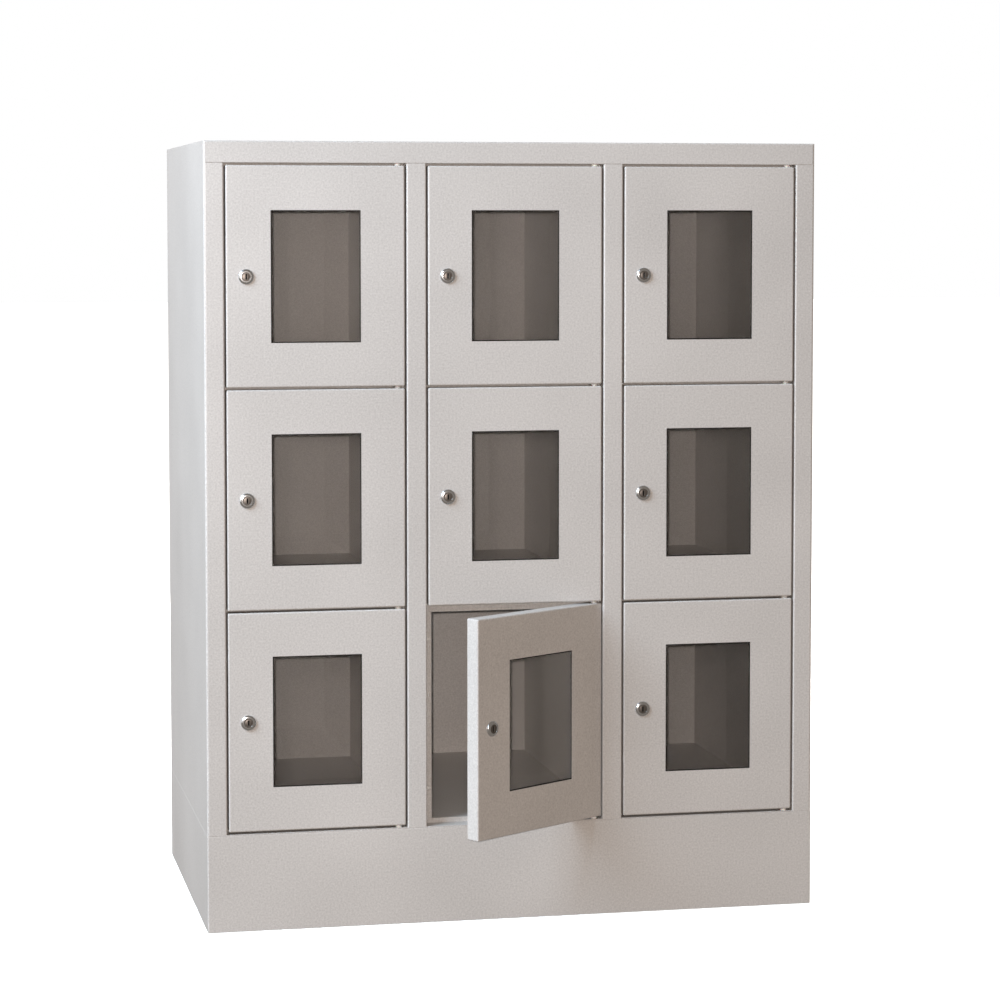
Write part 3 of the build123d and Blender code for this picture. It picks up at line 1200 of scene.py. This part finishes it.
class LOCKER_OT_lock_barrels(Operator):
    """Makes each lock's domed collar with its threaded barrel, and the nut on it"""

    bl_idname = "locker.lock_barrels"
    bl_label = "Lock barrels"

    # In millimetres
    plug_play = 0.05
    mouth_trim = 0.2
    mouth_depth = 0.3
    dome_width = 3.4
    dome_foot = 0.4
    rim_trim = 0.1
    barrel_end = 26.55
    tip_chamfer = 0.6
    thread_depth = 0.55
    thread_runout = 1.0
    half_flats = 7.1
    nut_height = 4.0
    nut_trim = 0.5
    nut_chamfer = 0.3

    def execute(self, context):
        lock = context.scene.locker_lock
        made = [
            ("lock_barrel", self.barrel(lock), "chrome_plated_lock"),
            ("lock_nut", self.nut(lock), "zinc_plated_steel"),
        ]
        for place in PLACES:
            middle = lock_middle(place)
            for name, (points, faces), metal in made:
                piece = put_piece(
                    f"{name}_{place}",
                    on_door(points + middle, place),
                    faces,
                    finish(metal),
                    f"door_{place}",
                )
                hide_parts(f"lock_housing_{place}")
        return {"FINISHED"}

    def barrel(self, lock):
        """Collar and barrel: a profile swept round the axis.

        The dome is a quarter of an ellipse: its radius grows from the crown's with the cosine
        of an angle, and its height falls with the sine. Along the barrel the radius is less by
        a triangle wave of depth and angle, which is the thread, and nowhere more than half the
        flats over the angle's cosine, which makes the two flats.
        """
        radius = lock.barrel_radius / MM
        bore = lock.plug_radius / MM + self.plug_play
        flare = bore + self.mouth_trim
        height = lock.collar_height / MM
        rim = lock.collar_radius / MM
        crown = rim - self.dome_width
        end = self.barrel_end
        chamfer = self.tip_chamfer
        mouth = [
            (bore, end - self.mouth_trim),
            (bore, self.mouth_depth - height),
            (flare, -height),
        ]
        angle = np.linspace(math.pi / 2, 0, 15)
        reach = crown + (rim - crown) * np.cos(angle)
        depth = -self.dome_foot - (height - self.dome_foot) * np.sin(angle)
        dome = np.stack([reach, depth], 1)
        back = [(rim, -self.rim_trim), (rim - self.rim_trim, 0), (radius, 0)]
        pitch = lock.thread_pitch / MM
        rings_per_turn = 6
        depth = np.arange(chamfer, end - self.thread_runout, pitch / rings_per_turn)
        thread = np.stack([np.full(len(depth), radius), depth], 1)
        tip = [(radius, end - chamfer), (radius - chamfer, end), (flare, end)]
        profile = np.vstack([mouth, dome, back, thread, tip])
        start = len(mouth) + len(dome) + len(back)
        is_cut = np.zeros((len(profile), 1), bool)
        is_cut[start : start + len(depth)] = True
        count = 48
        angle = np.linspace(0, 2 * np.pi, count, endpoint=False)
        phase = profile[:, 1:] / pitch - angle / (2 * np.pi)
        wave = np.abs(2 * (phase % 1) - 1)
        reach = profile[:, :1] - is_cut * self.thread_depth * wave
        least_cosine = 1e-3
        flats = self.half_flats / np.maximum(np.abs(np.cos(angle)), least_cosine)
        reach = np.where(is_cut, np.minimum(reach, flats), reach)
        return shell(angled_rows(reach, profile[:, 1:], count), closed=True)

    def nut(self, lock):
        """A hexagon nut: rings from its bore over each chamfered face to its flats.

        A chamfer falls by the tangent of its angle for each millimetre past the flats.
        """
        count = 72
        near, far = DOOR_SHEET, DOOR_SHEET + self.nut_height
        trim = self.nut_trim
        bore = lock.barrel_radius / MM
        edge = hexagon_reach(lock.nut_flats / MM, count)
        flat = edge.min() - self.nut_chamfer
        fall = (edge - flat) * CHAMFER_SLOPE
        reach = [bore, bore + trim, flat, edge, edge, flat, bore + trim, bore]
        depth = [near + trim, near, near, near + fall, far - fall, far, far, far - trim]
        return shell(angled_rows(reach, depth, count), closed=True)


class LOCKER_OT_lock_cams(Operator):
    """Makes each lock's key plug, plated darker to paint its face's shade, with its dust
    shutter, near-black to paint the key slot's shade, its cam plate and the cam's screw
    """

    bl_idname = "locker.lock_cams"
    bl_label = "Lock cams"

    # In millimetres, and the shutter's width as a share of the slot's
    crown_drop = 0.4
    slot_corners = SQUARE * (0.9, 3.5)
    slot_corner_radius = 0.3
    slot_depth = 2.5
    slot_flare = 0.2
    slot_flare_depth = 0.25
    # How far each ring from the face's groove to its rim lies inside the rim and behind
    # the face
    rim_steps = ((1.5, 0.0), (1.1, 0.15), (0.3, 0.1), (0.0, 0.4))
    shank_corners = SQUARE * 3.5
    shank_corner_radius = 0.4
    shutter_drop = 0.6
    shutter_sheet = 0.6
    shutter_share = 1.02
    cam_front = 26.8
    cam_sheet = 2.0
    cam_hole_corners = SQUARE * 3.55
    cam_hole_corner_radius = 0.3
    cam_corners = np.array([(7, 7), (-7, 7), (-7, -26), (7, -26)])
    cam_corner_radii = np.array([6.9, 6.9, 3, 3])
    cam_trim = 0.4
    screw_flats = 8.0
    screw_height = 2.5
    screw_trim = 0.2
    screw_tip_radius = 1.0
    washer_radius = 5.0
    washer_sheet = 0.7
    washer_trim = 0.1

    def execute(self, context):
        lock = context.scene.locker_lock
        made = [
            # The plug and the shutter take the darker plates that paint their shade.
            ("key_plug", self.plug(lock), "dark_nickel_plug", "chrome_plated_lock"),
            ("dust_shutter", self.shutter(lock), "blackened_shutter", "chrome_plated_lock"),
            ("lock_cam_plate", self.cam(), "zinc_plated_steel", "zinc_plated_steel"),
            ("cam_screw", self.screw(), "zinc_plated_steel", "zinc_plated_steel"),
        ]
        for place in PLACES:
            middle = lock_middle(place)
            for name, (points, faces), metal, slot in made:
                piece = put_piece(
                    f"{name}_{place}",
                    on_door(points + middle, place),
                    faces,
                    finish(metal),
                    f"lock_{place}",
                )
                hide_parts(f"lock_cam_{place}")
        return {"FINISHED"}

    def plug_face(self, lock):
        """The depth of the key plug's face, a little behind the collar's crown."""
        return self.crown_drop - lock.collar_height / MM

    def plug(self, lock):
        """Key plug: rings that go from the key slot's floor up its walls, over the face and
        its shallow groove to the rim, back along the round body, and on to the square shank."""
        count = 72
        face = self.plug_face(lock)
        radius = lock.plug_radius / MM
        slot_radius = self.slot_corner_radius
        slot = even_loop(self.slot_corners, slot_radius, count)
        flared = self.slot_corners + self.slot_flare * np.sign(self.slot_corners)
        mouth = even_loop(flared, slot_radius + self.slot_flare, count)
        shank = even_loop(self.shank_corners, self.shank_corner_radius, count)
        rings = [
            (slot, face + self.slot_depth),
            (slot, face + self.slot_flare_depth),
            (mouth, face),
            *(
                (circle(radius - inside, count), face + behind)
                for inside, behind in self.rim_steps
            ),
            (circle(radius, count), self.cam_front),
            (shank, self.cam_front),
            (shank, self.cam_front + self.cam_sheet),
        ]
        outlines, depths = zip(*rings)
        return shell(ring_rows(outlines, depths))

    def shutter(self, lock):
        """A flat plate across the key slot, its edges let into the slot's walls. Its near-black
        plate paints the shade inside the slot.
        """
        near = self.plug_face(lock) + self.shutter_drop
        corners = self.slot_corners * self.shutter_share
        outline = even_loop(corners, self.slot_corner_radius, 48)
        return shell(ring_rows([outline, outline], [near, near + self.shutter_sheet]))

    def cam(self):
        """Cam plate: rings from the square hole over the front, round the outline's rounded
        edge, and back over the rear."""
        count = 96
        near, far = self.cam_front, self.cam_front + self.cam_sheet
        trim = self.cam_trim
        hole = even_loop(self.cam_hole_corners, self.cam_hole_corner_radius, count)
        wide = even_loop(self.cam_corners, self.cam_corner_radii, count)
        trimmed = self.cam_corners - trim * np.sign(self.cam_corners)
        narrow = even_loop(trimmed, self.cam_corner_radii - trim, count)
        outlines = [hole, narrow, wide, wide, narrow, hole]
        depths = [near, near, near + trim, far - trim, far, far]
        return shell(ring_rows(outlines, depths), closed=True)

    def screw(self):
        """A hexagon head, its outer face chamfered, on a round washer."""
        count = 48
        near = self.cam_front + self.cam_sheet
        far = near + self.screw_height
        seat = near + self.washer_sheet
        wide, narrow = self.washer_radius, self.washer_radius - self.washer_trim
        edge = hexagon_reach(self.screw_flats, count)
        flat = edge.min() - self.screw_trim
        fall = (edge - flat) * CHAMFER_SLOPE
        reach = [narrow, wide, wide, narrow, edge, edge, flat, self.screw_tip_radius]
        depth = [near, near + self.washer_trim, seat - self.washer_trim, seat]
        depth += [seat, far - fall, far, far - self.screw_trim]
        return shell(angled_rows(reach, depth, count))


def pin_place(place):
    """Where a door's hinge pin stands, and the heights of the door's ends, in millimetres."""
    pin = JOINTS[f"door_{place}_swing"]["pos_m"]
    low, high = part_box(f"door_{place}")
    return pin[0] / MM, pin[1] / MM, low.z / MM, high.z / MM


class LOCKER_OT_hinge_washers(Operator):
    """Makes the washers round the hinge pins, above and below each door"""

    bl_idname = "locker.hinge_washers"
    bl_label = "Hinge washers"

    # In millimetres
    play = 0.2
    half_tab = 0.6
    rim_radius = 0.3
    bore_radius = 0.1

    def execute(self, context):
        fittings = context.scene.locker_fittings
        to_tab = DOOR_LEVEL_GAP / 2 - self.half_tab
        shells = []
        for place in PLACES:
            x, y, low, high = pin_place(place)
            row = int(place[-1])
            below = DOOR_LEVEL_GAP if row == LOWEST_ROW else to_tab
            above = DOOR_LEVEL_GAP if row == HIGHEST_ROW else to_tab
            for start, end in (
                (low - below, low - self.play),
                (high + self.play, high + above),
            ):
                points, faces = self.washer(fittings, start, end)
                shells.append((points + (x, y, 0), faces))
        points, faces = joined(shells)
        piece = put_piece(
            "nylon_hinge_washers",
            points * MM,
            faces,
            finish("white_nylon"),
            CARCASS,
        )
        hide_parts("hinge_washers")
        return {"FINISHED"}

    def washer(self, fittings, start, end):
        """A rounded rectangle of radius and height, swept round the pin."""
        hole, edge = fittings.pin_radius / MM, fittings.washer_radius / MM
        corners = [(edge, start), (edge, end), (hole, end), (hole, start)]
        radii = [self.rim_radius, self.rim_radius, self.bore_radius, self.bore_radius]
        profile = rounded_loop(corners, radii, steps=3)
        swept = profile[:, :1, None] * circle(1.0, 32)[None]
        height = np.broadcast_to(profile[:, 1:], swept.shape[:2])
        return shell(np.stack([swept[..., 0], swept[..., 1], height], -1), closed=True)


class LOCKER_OT_door_buffers(Operator):
    """Makes the two silicone dots on each opening's stop, on the lock side"""

    bl_idname = "locker.door_buffers"
    bl_label = "Door buffers"

    # In millimetres, degrees, and the dome's height as a share of the dot's
    from_door_ends = 45.0
    from_opening_edge = 5.25
    steepest = 80.0
    dome_share = 0.55

    def execute(self, context):
        fittings = context.scene.locker_fittings
        low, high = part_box("door_buffers")
        points, faces = self.dot(fittings.buffer_radius / MM, low.y / MM, high.y / MM)
        places = []
        for place in PLACES:
            x, _, bottom, top = pin_place(place)
            across = x + PIN_INSET - DOOR_WIDTH - DOOR_SIDE_GAP + self.from_opening_edge
            levels = (bottom + self.from_door_ends, top - self.from_door_ends)
            places += [(across, 0, level) for level in levels]
        points, faces = copies(points, faces, places)
        piece = put_piece(
            "silicone_door_buffers",
            points * MM,
            faces,
            finish("clear_silicone"),
            CARCASS,
        )
        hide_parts("door_buffers")
        return {"FINISHED"}

    def dot(self, radius, near, far):
        """A short cylinder with a domed front: the dome's radius shrinks with the cosine of
        an angle and its depth comes forward with the sine."""
        angle = np.linspace(0, math.radians(self.steepest), 6)
        depth = near + (far - near) * self.dome_share * (1 - np.sin(angle))
        depth[-1] = near
        dome = np.stack([radius * np.cos(angle), depth], 1)
        return shell(turned_rows(np.vstack([[(radius, far)], dome]), 24))


def rivet_head(radius, height):
    """A low dome that rises along +Y from its foot: radius times the cosine, and height
    times the sine, of an angle from 0 to nearly 90 degrees."""
    steepest = 86
    angle = np.linspace(0, math.radians(steepest), 5)
    profile = np.stack([radius * np.cos(angle), height * np.sin(angle)], 1)
    return shell(turned_rows(profile, 24))


class LOCKER_OT_glazing_frames(Operator):
    """Makes each pane's sealing bead, near-black to paint the window edge's shadow line, the
    folded frame that holds it, and its rivets
    """

    bl_idname = "locker.glazing_frames"
    bl_label = "Glazing frames"

    # In millimetres, and as shares of half the pane's height and width
    pane_thickness = 3.0
    pane_overlap = 12.0
    plan_corner = 7.0
    bead_front = 0.3
    bead_rear = 0.98
    bead_radii = (0.1, 0.05, 0.1)
    frame_play = 0.3
    frame_radii = (0.2, 0.2, 0.3, 0.6, 0.2, 0.2, 0.2, 0.2)
    rivet_height = 1.0
    rivet_shift = 0.6
    rivet_height_share = 0.6
    rivet_width_share = 0.5

    def execute(self, context):
        glazing = context.scene.locker_glazing
        coat, zinc = "powder_coated_steel", "zinc_plated_steel"
        parts = [
            # The seal is near-black so that it also paints the shadow line round the window's
            # edge.
            ("glazing_seal", self.bead, sealing_bead(glazing), "clear_silicone"),
            ("glazing_frame", self.bent_frame, finish(coat), coat),
            ("glazing_rivets", self.rivets, finish(zinc), zinc),
        ]
        for place in PLACES:
            low, high = self.pane_corners(place)
            for name, shape, material, slot in parts:
                points, faces = shape(glazing, low, high)
                points = on_door(points, place)
                put_piece(f"{name}_{place}", points, faces, material, f"door_{place}")
        return {"FINISHED"}

    def pane_corners(self, place):
        """A pane's lowest and highest corners, in millimetres on its door's axes."""
        corner, axes = door_axes(place)
        pane = frame["nodes"][f"window_pane_{place}"].data
        reach = np.empty(3 * len(pane.vertices), np.float32)
        pane.vertices.foreach_get("co", reach)
        local = (reach.reshape(-1, 3) - corner) @ axes.T / MM
        return local.min(0), local.max(0)

    def bead(self, glazing, low, high):
        """A triangular section carried round the window's square edge, mitred at its corners:
        each point lies its own distance inside the edge."""
        # This width is how much of the painted shadow line shows inside the window's edge.
        width = glazing.seal_and_shadow_line_width / MM
        front, rear = self.bead_front, self.bead_rear
        corners = [(0, front), (0, rear), (width, rear)]
        section = rounded_loop(corners, self.bead_radii, steps=2)
        half = (high - low)[[0, 2]] / 2 - self.pane_overlap
        centre = (high + low)[[0, 2]] / 2
        plan = centre + SQUARE * (half - section[:, :1, None])
        return shell(ring_rows(plan, section[:, 1]), closed=True)

    def bent_frame(self, glazing, low, high):
        """A stepped strip carried round the pane.

        Each point of the strip's section lies some distance outside the pane's edge. Round
        each corner it turns about the same centre, with that distance added to the radius.
        """
        sheet = glazing.frame_sheet / MM
        flange, cover = glazing.frame_flange / MM, glazing.frame_cover / MM
        near, far = DOOR_SHEET, DOOR_SHEET + self.pane_thickness
        inner = self.frame_play
        outer = inner + sheet
        corners = [
            (flange, near),
            (flange, near + sheet),
            (outer, near + sheet),
            (outer, far + sheet),
            (-cover, far + sheet),
            (-cover, far),
            (inner, far),
            (inner, near),
        ]
        section = rounded_loop(corners, self.frame_radii, steps=3)
        turn = np.linspace(0, np.pi / 2, 7)
        angle = (np.arange(4)[:, None] * np.pi / 2 + turn).ravel()
        way = np.stack([np.cos(angle), np.sin(angle)], 1)
        side = np.repeat(SQUARE, len(turn), axis=0)
        half = (high - low)[[0, 2]] / 2
        centre = (high + low)[[0, 2]] / 2 + side * (half - self.plan_corner)
        plan = centre + (self.plan_corner + section[:, :1, None]) * way
        return shell(ring_rows(plan, section[:, 1]), closed=True)

    def rivets(self, glazing, low, high):
        """Eight low domes on the frame's flange, two along each side of the pane."""
        points, faces = rivet_head(glazing.rivet_radius / MM, self.rivet_height)
        out = glazing.frame_flange / MM / 2 + self.rivet_shift
        middle = (low + high) / 2
        half = (high - low) / 2
        beside = SQUARE * (half[0] + out, half[2] * self.rivet_height_share)
        above = SQUARE * (half[0] * self.rivet_width_share, half[2] + out)
        face = DOOR_SHEET + glazing.frame_sheet / MM
        places = [(middle[0] + x, face, middle[2] + z) for x, z in (*beside, *above)]
        return copies(points, faces, places)


class LOCKER_OT_back_rivets(Operator):
    """Makes the rows of low rivet heads that hold the back to the walls and shelves"""

    bl_idname = "locker.back_rivets"
    bl_label = "Back rivets"

    # In millimetres
    height = 0.9
    from_flange_edge = 5.0
    from_ends = 30.0
    below_shelf = 6.0

    def execute(self, context):
        fittings = context.scene.locker_fittings
        points, faces = rivet_head(fittings.back_rivet_radius / MM, self.height)
        _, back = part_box("back_panel")
        places = []
        for column in (1, 2, 3):
            low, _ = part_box(f"column_{column}_left_wall")
            _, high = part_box(f"column_{column}_right_wall")
            left = low.x / MM + self.from_flange_edge
            right = high.x / MM - self.from_flange_edge
            bottom, top = low.z / MM + self.from_ends, high.z / MM - self.from_ends
            levels = np.linspace(bottom, top, fittings.back_rivets_high)
            places += [(x, z) for x in (left, right) for z in levels]
            for level in (1, 2):
                _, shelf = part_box(f"shelf_{column}_{level}")
                z = shelf.z / MM - self.below_shelf
                places += [(x, z) for x in np.linspace(left, right, 5)[1:-1]]
        face = back.y / MM
        points, faces = copies(points, faces, [(x, face, z) for x, z in places])
        put_piece(
            "back_rivets",
            points * MM,
            faces,
            finish("powder_coated_steel"),
            CARCASS,
        )
        return {"FINISHED"}


SETTINGS = {
    "locker_stage": StageSettings,
    "locker_sheet": SheetSettings,
    "locker_glazing": GlazingSettings,
    "locker_lock": LockSettings,
    "locker_fittings": FittingSettings,
}
OPERATORS = (
    LOCKER_OT_stage,
    LOCKER_OT_finishes,
    LOCKER_OT_lock_barrels,
    LOCKER_OT_lock_cams,
    LOCKER_OT_hinge_washers,
    LOCKER_OT_door_buffers,
    LOCKER_OT_glazing_frames,
    LOCKER_OT_back_rivets,
)


class LOCKER_PT_sidebar(Panel):
    """Lists the locker's operators and their values"""

    bl_idname = "LOCKER_PT_sidebar"
    bl_label = "Compartment Locker"
    bl_space_type = "VIEW_3D"
    bl_region_type = "UI"
    bl_category = "Locker"

    def draw(self, context):
        layout = self.layout
        for operator in OPERATORS:
            layout.operator(operator.bl_idname)
        for name, group in SETTINGS.items():
            box = layout.box()
            box.label(text=group.__doc__.rstrip("."))
            values = getattr(context.scene, name)
            for value in group.__annotations__:
                box.prop(values, value)


def register():
    """Makes the classes known to Blender."""
    for name, group in SETTINGS.items():
        bpy.utils.register_class(group)
        setattr(bpy.types.Scene, name, PointerProperty(type=group))
    for kind in (*OPERATORS, LOCKER_PT_sidebar):
        bpy.utils.register_class(kind)


def unregister():
    """Takes the classes out again."""
    for kind in (LOCKER_PT_sidebar, *reversed(OPERATORS)):
        bpy.utils.unregister_class(kind)
    for name, group in reversed(SETTINGS.items()):
        delattr(bpy.types.Scene, name)
        bpy.utils.unregister_class(group)


def main():
    """Builds the locker's looks in order."""
    register()
    bpy.ops.locker.stage()
    bpy.ops.locker.finishes()
    bpy.ops.locker.lock_barrels()
    bpy.ops.locker.lock_cams()
    bpy.ops.locker.hinge_washers()
    bpy.ops.locker.door_buffers()
    bpy.ops.locker.glazing_frames()
    bpy.ops.locker.back_rivets()


if __name__ == "__main__":
    main()
